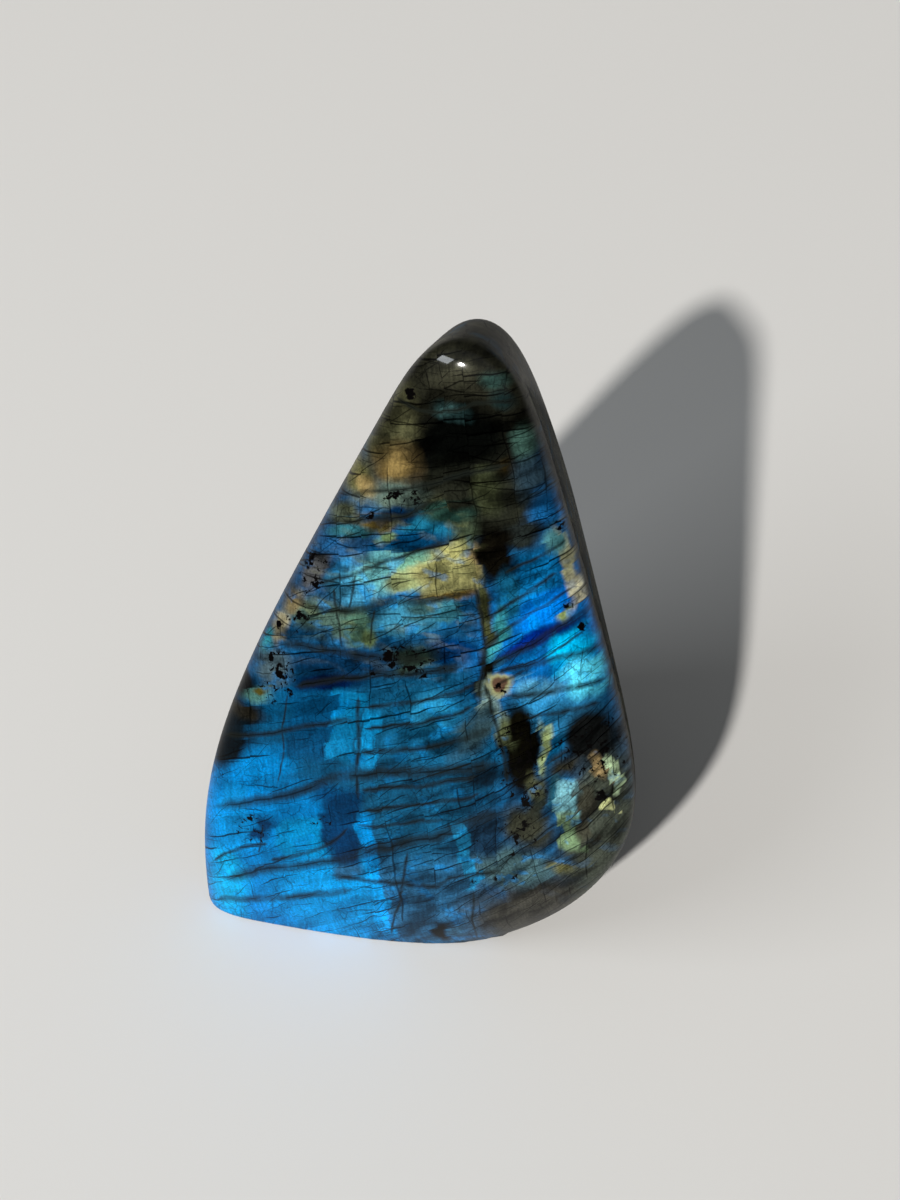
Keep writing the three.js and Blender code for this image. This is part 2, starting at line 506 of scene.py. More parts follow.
# %% Where each colour shows
PATCHES = {
    "lower left azure": (-29, 24, 34, 56, 0, 0.8, (0, 138, 216)),
    "left middle azure": (-19, 50, 30, 26, 10, 0.7, (12, 86, 128)),
    "lower stripe field": (-14, 12, 24, 28, 0, 0.8, (0, 166, 244)),
    "lower middle slate": (7, 16, 24, 34, 0, 0.7, (42, 104, 146)),
    "middle steel": (2, 47, 30, 42, 0, 0.7, (18, 90, 128)),
    "left shoulder slate": (-35.6, 46, 9, 18, -15, 0.9, (8, 22, 30)),
    "upper left periwinkle": (-17, 86, 22, 18, 15, 0.7, (40, 90, 136)),
    "right field": (22, 76, 24, 30, -15, 0.5, (14, 112, 190)),
    "right lower field": (26, 62, 16, 12, 0, 0.8, (48, 142, 196)),
    "crown ground": (2, 121, 40, 32, 0, 0.5, (42, 42, 32)),
    "cracked dark ground": (7, 103, 26, 22, 0, 0.7, (34, 36, 28)),
    "black heart": (3, 112, 23, 14, 10, 1.1, (4, 5, 4)),
    # This patch's grey is partly the stone's grey-olive ground and partly a painted reflection of
    # the pale table at the lower right foot.
    "lower right ground and painted table reflection": (33, 13, 38, 30, 0, 0.5, (68, 67, 60)),
    "right rim ground": (38, 40, 14, 40, 0, 0.7, (70, 76, 66)),
    "olive shoulder": (-10.5, 111, 9, 15, -25, 1, (84, 84, 58)),
    "orange bloom": (-8, 104.5, 9, 9, 0, 1, (116, 98, 58)),
    "tan edge": (-15.5, 101, 8, 8, 0, 1, (108, 106, 68)),
    "orange edge": (-13, 100, 4, 3, 0, 1.3, (160, 138, 88)),
    "grey teal speckle": (-7, 99.5, 11, 6, 10, 0.8, (82, 100, 92)),
    "teal glow on the crown": (8, 123, 5, 3.5, 0, 1.4, (44, 70, 64)),
    "second crown glow": (1, 116.5, 5, 2.5, 0, 1.4, (50, 78, 78)),
    "third crown glow": (10, 119.5, 4, 3, 0, 1.4, (24, 42, 42)),
    "brown spot": (12.5, 108, 4, 3, 20, 1.3, (34, 28, 12)),
    "olive gold rise": (9, 103, 5, 6, 0, 1.3, (66, 72, 48)),
    "olive gold strip": (5.5, 94, 5, 9, 0, 1, (70, 84, 64)),
    "right edge teal": (15, 113, 4, 6, 25, 1.3, (66, 98, 88)),
    "right edge dim blue": (17, 106.5, 6, 7, 20, 1.3, (42, 62, 74)),
    "right edge blue": (20.5, 101, 6, 8, 20, 1, (26, 108, 172)),
    "slate navy": (16, 95.5, 9, 6, 10, 1, (32, 38, 36)),
    "right upper blue": (18.5, 88.5, 12, 9, 25, 0.8, (10, 112, 172)),
    "right tan seam": (24.6, 91.5, 1.8, 12, 18, 0.8, (176, 176, 136)),
    "right teal seam": (22.5, 95, 2.5, 5, 18, 1.1, (78, 136, 142)),
    "black wedge": (11.8, 91, 8.5, 13, 8, 0.8, (14, 12, 7)),
    "bright blue lens": (-1.5, 95, 9, 4.5, 12, 0.8, (24, 104, 134)),
    "navy fleck": (-7, 96, 6, 3, 10, 1, (8, 44, 78)),
    "teal bridge": (2, 98.3, 9, 3, 15, 1.1, (36, 66, 58)),
    "deep blue band": (-6, 90.6, 15, 4.6, 18, 0.7, (4, 64, 104)),
    "left brown band": (-11.5, 93.8, 8, 3.4, 8, 1, (104, 90, 46)),
    "left tan fleck": (-17.5, 94.2, 6, 3, 8, 1.1, (96, 106, 88)),
    "left teal band": (-16, 91.8, 9, 2.8, 8, 1, (50, 110, 122)),
    "green gold fleck": (-9, 91.6, 4.5, 2, 15, 1.1, (96, 130, 88)),
    "window teal": (-14, 80.5, 10, 9, 20, 0.7, (66, 146, 184)),
    "window pale teal": (-8, 84.5, 11, 8, 24, 0.7, (100, 172, 178)),
    "window pale middle": (-1, 85.5, 11, 7, 24, 0.8, (104, 158, 136)),
    "window gold left": (-4, 83.3, 8, 4, 18, 1, (156, 168, 116)),
    "window gold right": (4, 87.8, 8, 8, 20, 0.8, (180, 178, 112)),
    "window orange rim": (7.8, 87, 2.6, 8, 5, 1, (140, 116, 74)),
    "gold strip": (3.5, 81.6, 11, 2.8, 18, 1, (100, 82, 36)),
    "mauve inclusion": (-21.5, 82, 4, 9, -25, 0.8, (98, 100, 102)),
    "pale blue cells": (-3, 76.2, 15, 6, 15, 0.7, (60, 138, 170)),
    "olive cell": (-1, 78, 4.5, 3, 15, 1, (48, 84, 88)),
    "teal cell": (4, 78.7, 5, 3.5, 15, 0.8, (56, 124, 142)),
    "deep blue cell": (5.5, 71.2, 9, 4.5, 12, 0.7, (2, 56, 108)),
    "left olive": (-20, 73, 13, 7, 0, 0.8, (80, 108, 98)),
    "left teal olive": (-12.5, 72.5, 6, 7, 0, 1, (78, 116, 98)),
    "gold olive fleck": (-10.5, 71, 3, 4, 0, 1.1, (92, 112, 74)),
    "left edge orange": (-25.5, 75, 4, 5, -20, 1.1, (128, 116, 84)),
    "left edge tan": (-28, 70, 3.5, 5, -20, 1.1, (186, 178, 142)),
    "left edge glint": (-30.3, 66.3, 2.6, 4, -20, 1.1, (44, 160, 180)),
    "speckled olive": (-2.5, 68.3, 11, 5.5, 8, 1, (44, 62, 54)),
    "deep blue belt": (-16, 64.8, 20, 6, 7, 0.7, (12, 58, 96)),
    "navy belt": (-17, 60.6, 16, 3, 8, 1, (2, 26, 66)),
    "left grey mauve": (-28.5, 62, 7, 8, -10, 1, (84, 108, 118)),
    "left teal flash": (-31, 56, 7, 3, 10, 1, (86, 138, 130)),
    "left gold flash": (-29.5, 57, 3, 1.4, 10, 1.1, (84, 78, 34)),
    "left dark fleck": (-35, 56.5, 6, 5, 20, 1.1, (16, 20, 22)),
    "left brown edge": (-34, 51, 7, 4, 10, 1.1, (40, 38, 30)),
    "right royal blue": (21.5, 81.8, 14, 6, 40, 0.7, (0, 128, 236)),
    "right teal stripe": (15, 83, 5, 9, 10, 1, (20, 98, 134)),
    "right teal low": (13.6, 75, 3, 12, 5, 1, (58, 150, 158)),
    "right cyan": (28, 75, 9, 9, 28, 0.8, (0, 196, 255)),
    "right pale cyan": (30.8, 70.5, 7, 8, 20, 0.9, (92, 224, 255)),
    "right navy band": (21.5, 76.5, 17, 3, 40, 1, (0, 40, 130)),
    "right low azure": (21, 71, 10, 5, 25, 0.8, (8, 98, 168)),
    "dark seam": (10.6, 79, 2.6, 15, 10, 0.9, (68, 72, 44)),
    "dark seam low": (12.2, 67, 3.2, 11, 0, 0.9, (14, 12, 6)),
    "right cream": (26.4, 86, 2.4, 6, 12, 1, (236, 232, 196)),
    "right orange": (26, 82.4, 2.4, 2.2, 0, 1.3, (128, 146, 92)),
    "right grey mauve": (23, 67.4, 9, 4.5, 20, 1, (84, 162, 202)),
    "pale cream below the eye": (14, 62.6, 4, 7, 20, 1.1, (196, 236, 226)),
    "black column": (20.6, 54.5, 8, 19, 8, 0.6, (12, 11, 5)),
    "gold rim": (25.4, 55.5, 2.2, 9, 8, 1, (186, 208, 140)),
    "black corner": (33.4, 59, 12, 11, -30, 0.8, (18, 20, 20)),
    "blue strip": (27.8, 53, 2.8, 10, 0, 0.8, (10, 100, 148)),
    "teal beside the column": (28.6, 47.5, 2.2, 7, 0, 1, (30, 84, 104)),
    "orange bar": (36, 53, 2.6, 4.5, 15, 1.1, (158, 136, 94)),
    "dark beside the column": (26, 43, 4, 12, 0, 1.1, (34, 42, 38)),
    "pale teal grey": (22, 28.5, 17, 9, 8, 0.8, (74, 106, 112)),
    "low gold": (31.5, 30, 4, 4, 0, 1.3, (112, 112, 72)),
    "speckled brown": (24, 38, 9, 9, 0, 1, (56, 58, 46)),
    "slate corner": (16, 35.5, 7, 12, 12, 0.8, (24, 56, 82)),
    "dark foot patch": (7.6, 7, 4, 7, 5, 0.8, (4, 2, 0)),
    "pale foot patch": (11, 6.6, 2.6, 8, 5, 0.8, (52, 106, 140)),
    "bright left edge": (-35.5, 11, 8, 18, 0, 1, (0, 190, 255)),
    "bright left spot": (-34, 24, 9, 9, 15, 1, (0, 170, 255)),
    "bright upper block": (-27, 42.5, 11, 8, 15, 0.8, (0, 132, 204)),
    "purple grey block": (-11, 20, 6, 4, 15, 0.8, (48, 114, 160)),
    "bright centre": (4, 59, 9, 7, 15, 0.8, (34, 128, 172)),
    "grey grain": (12.5, 58, 5, 16, -15, 1.1, (46, 70, 78)),
    "dark slate block": (14, 47, 8, 5, 20, 1, (8, 36, 54)),
    "dark web": (-28.4, 27.6, 5, 3.4, 10, 1.3, (6, 62, 108)),
    "dark web low": (-30, 24.4, 7, 3, 20, 1.3, (4, 60, 108)),
    "dark web right": (-15.6, 31.5, 5, 2.4, 10, 1.2, (2, 14, 22)),
    "brown corner": (29.8, 52.4, 7, 4.4, 35, 1.2, (42, 42, 34)),
    "olive left of the column": (17.2, 57, 3, 7, 15, 1.2, (84, 92, 62)),
    "olive below the column": (24.6, 47.4, 3.4, 5, 0, 1.2, (92, 96, 66)),
}
print(len(PATCHES), "patches of colour")

# %% [markdown]
# Where twins meet at a clean border, the colour ends in a straight upright edge, so a
# few blocks with straight sides, written in the same way, go over the patches.

# %% Blocks with straight sides
BLOCKS = {
    "darker tall block": (-19.6, 51.5, 9, 13, 3, 0.6, (6, 76, 120)),
    "bright tall block": (-12.8, 52.4, 5.4, 14, 3, 0.4, (12, 126, 180)),
    "bright by the tall crack": (-7.6, 50.5, 3.2, 12, 3, 0.4, (14, 140, 200)),
    "dark blue gap": (-13.4, 32, 7, 13, 5, 0.9, (2, 66, 114)),
    "dark blue gap low": (-11.6, 25.4, 5, 7, 5, 0.9, (4, 62, 110)),
    "bright teal block": (-20.6, 26, 8, 8, 8, 0.4, (0, 150, 216)),
    "bright stripe": (-6.4, 27, 3.4, 13, 9, 0.6, (0, 152, 234)),
    "bright stripe foot": (-4.4, 12.5, 3.4, 17, 7, 0.5, (0, 170, 252)),
    "second stripe": (11.9, 32.5, 2.2, 8, 18, 0.7, (34, 156, 214)),
    "second stripe low": (13.6, 25.5, 2, 7, 14, 0.8, (36, 140, 190)),
    "column top": (31.6, 44.8, 3.8, 7.4, 6, 0.7, (122, 184, 196)),
    "column foot": (32.4, 39, 3.6, 6.4, 8, 0.8, (118, 146, 108)),
    "column shade": (34.6, 43, 2.2, 9, 6, 1, (66, 66, 54)),
    "cream bar": (39, 52, 1.8, 5, 6, 1.2, (190, 216, 172)),
    "cream bar low": (38.8, 46.2, 1.8, 2, 4, 1.2, (220, 226, 160)),
    "window corner": (3.6, 85.4, 9, 5, 20, 0.9, (156, 154, 100)),
    "left edge block": (-33.6, 29, 4.6, 12, 4, 0.8, (6, 146, 220)),
}
print(len(BLOCKS), "blocks")

# %% [markdown]
# One function draws both. It turns a place into the patch's own axes, with the border
# at a distance of 1. Squaring both coordinates twice before their length is taken
# pushes the oval out into a block with rounded corners. Turns are rounded to whole
# steps, so that patches share their Mapping nodes.

# %% Lay the patches and the blocks
GROUND_COLOUR = (22, 84, 128)
TURN_STEP = 10
SQUARINGS = 2
turned_places = {}


def turned_to(place, turn):
    """place in axes turned by a whole number of steps, each made only once."""
    angle = radians(round(turn / TURN_STEP) * TURN_STEP)
    if (place, angle) not in turned_places:
        turned_places[place, angle] = mapped(place, rotation=(0, 0, -angle))
    return turned_places[place, angle], angle


def patch(place, mid_u, mid_v, width, height, turn, softness, square=False):
    """1 inside a soft oval, or a soft block where it is square, and 0 outside it."""
    axes, angle = turned_to(place, turn)
    across = mid_u * cos(angle) + mid_v * sin(angle)
    along = mid_v * cos(angle) - mid_u * sin(angle)
    wide, tall = width / 2, height / 2
    inputs = {0: axes, 1: (1 / wide, 1 / tall, 0), 2: (-across / wide, -along / tall, 0)}
    own = look.node("ShaderNodeVectorMath", {"operation": "MULTIPLY_ADD"}, inputs)
    outer, inner = 1 + softness / 2, 1 - softness / 2
    if square:
        for _ in range(SQUARINGS):
            own = vector_math("MULTIPLY", own, own)
            outer, inner = outer**2, inner**2
    away = vector_math("LENGTH", own, (0, 0, 0), "Value")
    return smooth(away, outer, inner)


flash = paint(*GROUND_COLOUR)
for shapes, square in ((PATCHES, False), (BLOCKS, True)):
    for *outline, colour in shapes.values():
        share = patch(patch_place, *outline, square)
        flash = blend_colours(share, flash, paint(*colour))
print(len(turned_places), "turned axes for", len(PATCHES) + len(BLOCKS), "shapes")

# %% [markdown]
# No large patch of the real stone is one colour: small warm and blue glows lie all
# through it. Two stretched noises lay them on: the warm ones at the upper left, and the
# blue ones wherever the patch below shines, so that black parts stay black.

# %% Small glows in the patches
WARM_GLOW = paint(132, 136, 88)
WARM_GLOW_SIZE = (6, 2.6)
WARM_SPAN = (0.5, 0.8)
BLUE_GLOW = paint(0, 150, 236)
BLUE_GLOW_SIZE = (4.4, 3.4)
BLUE_SPAN = (0.55, 0.72)
GLOW_SHARE = 0.4
WARM_ABOVE = (60, 78)
WARM_BELOW = (104, 92)
WARM_LEFT_OF = (12, 4)
BLUE_BELOW = (100, 80)
SHINING_SPAN = (0.03, 0.1)

warm = smooth(cloud(stretched(patch_place, *WARM_GLOW_SIZE), 1), *WARM_SPAN)
warm = warm * smooth(v, *WARM_ABOVE) * smooth(v, *WARM_BELOW) * smooth(u, *WARM_LEFT_OF)
flash = blend_colours(warm * GLOW_SHARE, flash, WARM_GLOW)
shining = look.node("ShaderNodeRGBToBW", {}, {0: flash})
blue = smooth(cloud(stretched(patch_place, *BLUE_GLOW_SIZE), 1), *BLUE_SPAN)
blue = blue * smooth(v, *BLUE_BELOW) * smooth(shining, *SHINING_SPAN)
flash = blend_colours(blue * GLOW_SHARE, flash, BLUE_GLOW)
print("small glows laid over the patches")

# %% [markdown]
# Inside the patches the light and dark comes in: a random brightness for each layer and
# another for each upright block, dim streaks along the cracks where the stone is cloudy,
# a fine streaky noise that runs with the grain and gives the face its silky look, and a
# finer one for the small crystals. On the lower left and on the right the stone is calm:
# clearer, more even and less cracked.

# %% Light and dark layers, dim streaks, and the silky grain
LAYER_CONTRAST = 0.35
BLOCK_CONTRAST = 0.2
GRAIN_CONTRAST = 0.85
CRYSTAL_CONTRAST = 1.0
STREAK_SIZE = (0.6, 6)
CRYSTAL_SIZE = 0.45
CLOUDY_SIZE = (7, 4)
CLOUDY_SPAN = (0.35, 0.6)
DIMMEST = 0.34
BRIGHTEST = 1.25
CALM_LIGHT = 1.08
CALM_SHARE = 0.55
CALM_LEFT_OF = (0, -12)
CALM_BELOW = (66, 58)
CALM_RIGHT = (29, 75, 16, 22, 20, 1.2)

calm = larger(smooth(u, *CALM_LEFT_OF) * smooth(v, *CALM_BELOW), patch(flat_place, *CALM_RIGHT))
streaks = cloud(stretched(along_grain, *STREAK_SIZE), 1, 3.0)
crystals = cloud(flat_place, 1 / CRYSTAL_SIZE)
cloudy = cloud(stretched(along_cracks, *CLOUDY_SIZE), 1, 5.0)
dimness = ramp(cloudy, *CLOUDY_SPAN, DIMMEST, BRIGHTEST)
dimness = dimness + (CALM_LIGHT - dimness) * calm * CALM_SHARE
brightness = (
    (1 + LAYER_CONTRAST * (layer_random - 0.5))
    * (1 + BLOCK_CONTRAST * (block_random - 0.5))
    * (1 + GRAIN_CONTRAST * (streaks - 0.5))
    * (1 + CRYSTAL_CONTRAST * (crystals - 0.5))
    * dimness
)
EVERYWHERE = 1.0


def times(colour, amount):
    """A colour made brighter or darker by a number that changes over the face."""
    grey = look.node("ShaderNodeCombineColor", {}, {0: amount, 1: amount, 2: amount})
    inputs = {0: EVERYWHERE, 6: colour, 7: grey}
    settings = {"data_type": "RGBA", "blend_type": "MULTIPLY"}
    return look.node("ShaderNodeMix", settings, inputs, 2)


flash = times(flash, brightness)
print("light and dark laid over the colours")

# %% [markdown]
# ## The cracks
#
# The long cracks are the drawing of this stone, so each is placed one by one. A crack that
# runs across the face is a height v for each u, and a Float Curve node holds it as a
# smooth line through a few points. How near a place is to the line, and how near it is
# to the crack's ends, gives its darkness. An upright crack swaps u and v. Each one, given
# by its width and its points, has a thin dark core inside a wider, browner shade.

# %% The long cracks
CROSSING_CRACKS = {
    "upper long": (2.4, (-41, 29), (-23, 36), (-13, 41.5), (-3, 45), (8, 48), (20, 51.5)),
    "lower long": (
        2.6, (-41, 9.5), (-28, 16), (-20, 19), (-12, 23), (-3, 28), (5, 32), (12, 37), (22, 41)
    ),
    "lowest": (2, (-41, 2.5), (-33, 7), (-22, 10), (-8, 16)),
    "foot": (1.4, (-17, 17.5), (-5, 19), (5, 20), (10, 24), (23, 27.5)),
    "short riser": (1.2, (-27, 18.5), (-17, 24), (-10, 32)),
    "upper left": (1.2, (-38, 45), (-28, 47.5), (-22, 50), (-9, 54.5)),
    "left belt": (1.7, (-29, 67), (-15, 68.2), (-8, 68), (3, 70.5)),
    "belt foot": (1.7, (-25, 58.5), (-15, 62), (-8, 64.5), (0, 66), (10, 70)),
    "under the window": (1.2, (-27, 76.5), (-16, 75.5), (-8, 78), (2, 81), (9.5, 84)),
    "through the window": (1, (-22, 79), (-10, 85), (-4, 89), (4, 93)),
    "right navy": (1.9, (12.5, 69.5), (18, 73.5), (24, 78.5), (31, 84.5)),
    "right diagonal": (0.9, (12, 74), (19, 80.5), (27, 88)),
    "right low diagonal": (0.8, (14, 65.5), (21, 71.5), (30, 79.5)),
    "right middle": (1.3, (13.5, 68.5), (24, 73), (34, 76.5)),
    "right low": (1.3, (16, 64.2), (26, 67.5), (36, 70.5)),
    "right lowest": (1, (20, 60.5), (27, 63.5), (35, 66)),
    "right high": (1.1, (11, 78), (17, 83.5), (24, 90.5)),
    "right highest": (0.8, (14, 88), (20, 92.5), (24, 96)),
    "left high": (1.2, (-22, 91.5), (-10, 94.6), (0, 99.5)),
    "high": (1.1, (-18, 97.5), (-8, 100.5), (2, 104), (14, 110)),
    "crown": (0.8, (-12, 118), (-2, 116.5), (6, 119), (14, 121)),
    "middle first": (1.2, (-11, 47.3), (-3, 49.5), (4, 52.5), (16, 57.5)),
    "middle second": (1, (-9.5, 52.5), (0, 55.8), (12, 61.5)),
    "middle third": (1.2, (-10, 40), (0, 42.6), (14, 48)),
    "middle fourth": (1, (-9, 36), (3, 39), (15, 44.5)),
    "middle fifth": (1, (-10, 57), (0, 60.3), (12, 66)),
    "lower middle": (0.9, (-10, 32), (0, 34), (8, 37)),
    "lowest left": (1, (-40, 15), (-32, 21), (-26, 23.5)),
}
UPRIGHT_CRACKS = {
    "tall": (0.9, (37, -9.2), (45, -9.6), (52, -9.7), (60.5, -10.6)),
    "lower": (0.6, (2.5, -2.2), (10, -1), (17, 0), (29, 0.7)),
    "left of the window": (0.6, (68.5, -15), (75, -16.5), (80, -17.4)),
    "in the window": (0.5, (75.5, -14.2), (84, -13.3)),
    "below the window": (0.5, (70, -9.6), (77, -9)),
    "seam": (0.9, (60, 12.8), (65, 11.8), (70, 12), (77, 10.6), (87, 8.3)),
    "beside the column": (0.8, (46, 19.4), (54, 17.4), (60, 15), (67, 12.2)),
    "left block": (0.4, (37, -25.6), (46, -25), (58.5, -24.4)),
    "far left": (0.4, (20, -28.4), (28, -28)),
    "foot block": (0.5, (4, 13.8), (12, 14.6), (22, 13.6)),
}
PALE_END = 0.1
STEP_SHARE = 0.5
UNEVEN_SIZE = (8, 2)
UNEVEN_SPAN = (0.35, 0.55)
SHADE_SPAN = (0.2, 0.85)
CORE_SPAN = (0.86, 0.96)


def crack(across, up, width, points):
    """How near each place is: 1 on the crack's line, 0 beside it and at its ends."""
    start, end = points[0][0], points[-1][0]
    lowest = min(place[1] for place in points)
    rise = max(place[1] for place in points) - lowest
    shares = [((a - start) / (end - start), (b - lowest) / rise) for a, b in points]
    share = ramp(across, start, end, 0, 1)
    inputs = {"Value": share, "Factor": EVERYWHERE}
    line = look.node("ShaderNodeFloatCurve", {"curve": shares}, inputs)
    away = abs(up - (line * rise + lowest)) / width
    from_middle = abs(share - 0.5)
    ending = ramp(from_middle, 0.5 - PALE_END, 0.5, 0, 1)
    return 1 - away - ending


stepped_v = v + STEP_SHARE * step
near_crack = 0
for across, up, cracks in ((u, stepped_v, CROSSING_CRACKS), (stepped_v, u, UPRIGHT_CRACKS)):
    for width, *points in cracks.values():
        near_crack = larger(crack(across, up, width, points), near_crack)
uneven = cloud(stretched(along_cracks, *UNEVEN_SIZE), 1, 3.0)
crack_shade = smooth(near_crack, *SHADE_SPAN) * ramp(uneven, *UNEVEN_SPAN, 0.75, 1)
crack_core = smooth(near_crack - ramp(uneven, *UNEVEN_SPAN, 0.12, 0), *CORE_SPAN)
print(len(CROSSING_CRACKS), "crossing cracks and", len(UPRIGHT_CRACKS), "upright ones")

# %% [markdown]
# Between the long cracks are hundreds of fine ones, on the borders of slices like those
# of the layers. A stretched noise opens each one here and closes it there, so that it
# runs for a few millimetres and tapers off. Families with slightly different rises cross
# at small angles, so the cracks branch. Upright ones follow the borders of the blocks,
# and a net of crazing, the borders of small cells, fills some places between them.
#
# A family has a rise against the layers, a spacing, a width, the length and height of
# its dashes, the noise value at which it opens, a darkness, and a wander: how far its
# lines stray and how long their waves are.

# %% The fine cracks
FINE_CRACKS = {
    "along the layers": (0, LAYER, 0.32, (15, 3), 0.45, 0.9, None),
    "flatter": (-0.22, 4.4, 0.26, (12, 4), 0.48, 0.75, (3, 19)),
    "steeper": (0.2, 3.8, 0.26, (10, 4), 0.47, 0.8, (3, 14)),
    "close": (-0.07, 1.7, 0.17, (8, 2.4), 0.48, 0.6, (1.4, 10)),
    "slanting": (0.8, 5, 0.22, (6, 6), 0.47, 0.75, (3, 13)),
}
UPRIGHT_FAMILY = (BLOCK, 0.26, (8, 3), 0.48)
UPRIGHT_DARKNESS = 0.7
OPENING_SPAN = 0.2
CALM_CLOSES = 0.07
CRISPNESS = 0.25
CRAZING_BENDS = (2.4, 1.2, 3.0)
CRAZING_CELL = 2.3
CRAZING_WIDTH = 0.22
CRAZING_DARKNESS = 0.5
CRAZED_SIZE = 7
CRAZED_SPAN = (0.42, 0.62)


def line_family(across, along, spacing, width, dash, opens):
    """Thin broken lines on the borders of slices, with widths in millimetres."""
    away = slices(across, spacing, "DISTANCE_TO_EDGE", "Distance")
    place = look.node("ShaderNodeCombineXYZ", {}, {0: along / dash[0], 1: across / dash[1]})
    opened = smooth(cloud(place, 1) - CALM_CLOSES * calm, opens, opens + OPENING_SPAN)
    return smooth(away * spacing, opened * width, opened * width * CRISPNESS)


crazing_place = shaken(flat_place, *CRAZING_BENDS)
crazed = look.node(
    "ShaderNodeTexVoronoi",
    {"voronoi_dimensions": "2D", "feature": "DISTANCE_TO_EDGE"},
    {"Vector": crazing_place, "Scale": 1 / CRAZING_CELL},
    "Distance",
)
crazed_here = smooth(cloud(flat_place, 1 / CRAZED_SIZE, 3.0), *CRAZED_SPAN)
crazing = smooth(crazed * CRAZING_CELL, CRAZING_WIDTH, 0) * crazed_here * CRAZING_DARKNESS
hairlines = line_family(across_grain, across_layers, *UPRIGHT_FAMILY) * UPRIGHT_DARKNESS
hairlines = larger(crazing, hairlines)
for rise, spacing, width, dash, opens, darkness, wander in FINE_CRACKS.values():
    across = across_layers - u * rise
    if wander:
        by, wave = wander
        across = across + by * cloud(flat_place, 1 / wave)
    hairlines = larger(line_family(across, u, spacing, width, dash, opens) * darkness, hairlines)
print(len(FINE_CRACKS), "families of fine cracks and an upright one")

# %% [markdown]
# ## The black grains
#
# Grains of a black mineral lie here and there in the stone, some large enough to list
# one by one, as ovals like the patches, and many in specks in a few speckled places. The
# large ones aren't solid dots: noise shakes their outlines and breaks them up.

# %% The black grains
GRAINS = {
    "crown": (-7, 118.4, 2.6, 1.8, 20),
    "above the speckle": (-3.6, 98.6, 1.1, 1.3, 0),
    "in the speckle": (-4.3, 100.3, 0.9, 1.2, 30),
    "left of the speckle": (-11.7, 95, 1.3, 1.4, 0),
    "speckle string": (-7.5, 99.5, 3.5, 1.1, 25),
    "right edge": (22.4, 98.4, 1.6, 1.3, 20),
    "right seam": (26.3, 83.9, 1.5, 1.7, 0),
    "right rim": (29, 80, 1.3, 2.2, 20),
    "left inclusion top": (-22.6, 84, 1.8, 3, -25),
    "left inclusion": (-20.8, 80, 2, 2.6, -20),
    "left olive": (-23.4, 73, 2.4, 1.8, 20),
    "left edge": (-27.3, 70.4, 1.6, 1.3, 0),
    "left mauve": (-26, 61.3, 2.4, 3.4, 0),
    "left mauve top": (-28.4, 64, 1.2, 2, 0),
    "left low": (-23.8, 57.5, 2.2, 1.8, 0),
    "belt": (-5.2, 68.8, 3.6, 2.8, 0),
    "belt right": (-1.4, 66.5, 2.8, 2, 20),
    "belt far right": (1.2, 65.2, 2, 1.2, 20),
    "far left": (-36.6, 37.6, 0.9, 0.9, 0),
    "brown": (23.3, 39, 1.1, 1.3, 0),
    "grey first": (18.5, 25.2, 0.6, 1.8, -10),
    "grey second": (22.6, 26.6, 0.6, 1.8, -10),
    "grey third": (14.7, 23.4, 1.1, 1.3, 0),
    "grey fourth": (21.4, 31.6, 0.7, 2, 0),
    "grey fifth": (22, 35.5, 0.9, 2.6, 0),
    "beside the column": (23, 43.5, 1.6, 2.2, 0),
    "slate": (14.6, 33.4, 0.8, 0.6, 0),
    "eye": (15.2, 66.2, 1.1, 1.3, 20),
    "eye right": (16.3, 65.4, 0.7, 0.8, 0),
    "tall block": (-8.4, 64.4, 0.7, 1.1, 0),
    "low right": (36.6, 47.4, 2.2, 2.6, 0),
}
SPECKLED = {
    "belt": (-2, 68, 15, 6, 8),
    "speckle": (-6, 98.5, 9, 5, 10),
    "left inclusion": (-21.5, 82, 5, 9, -25),
    "left mauve": (-26.5, 60, 7, 10, -10),
    "column": (21.2, 51, 9, 24, 6),
    "brown": (22.5, 38, 8, 8, 0),
    "corner": (34, 56, 12, 14, -30),
    "left olive": (-23, 73, 6, 6, 0),
    "azure": (-29.2, 26, 8, 7, 0),
    "deep": (-15.6, 31.5, 6, 3, 10),
}
GRAIN_BENDS = (1.5, 1.3, 4.0)
GRAIN_SOFTNESS = 0.4
SPECKLED_SOFTNESS = 1.2
SPECK_SIZE = 1.1
SPECK_SPAN = (0.72, 0.76)
MORE_WHERE_SPECKLED = 0.12
GAP_SIZE = 1.3
GAP_SPAN = (0.36, 0.44)

grain_place = shaken(flat_place, *GRAIN_BENDS)
grains = 0
for outline in GRAINS.values():
    grains = larger(patch(grain_place, *outline, GRAIN_SOFTNESS), grains)
grains = grains * smooth(cloud(flat_place, 1 / GAP_SIZE, 3.0), *GAP_SPAN)
speckled = 0
for outline in SPECKLED.values():
    speckled = larger(patch(flat_place, *outline, SPECKLED_SOFTNESS), speckled)
specks = cloud(grain_place, 1 / SPECK_SIZE) + MORE_WHERE_SPECKLED * speckled
specks = smooth(specks, *SPECK_SPAN)
grains = larger(specks * smooth(speckled, 0.1, 0.5), grains)
print(len(GRAINS), "placed grains and", len(SPECKLED), "speckled places")

# %% [markdown]
# The eye on the right is a small window: a cream and gold ring about a pinkish-brown
# middle. It is two patches on strongly shaken places, the smaller over the larger.

# %% The eye
EYE_BENDS = (2.6, 1.1, 3.0)
EYE_RINGS = {
    "cream and gold": (15.5, 66.4, 4.8, 4.32, 20, 0.6, (170, 172, 124)),
    "pinkish brown": (15.5, 66.4, 3.3, 2.97, 20, 0.6, (100, 76, 60)),
}

eye_place = shaken(flat_place, *EYE_BENDS)
for *outline, colour in EYE_RINGS.values():
    flash = blend_colours(patch(eye_place, *outline), flash, paint(*colour))
print("the eye is", " and ".join(EYE_RINGS))

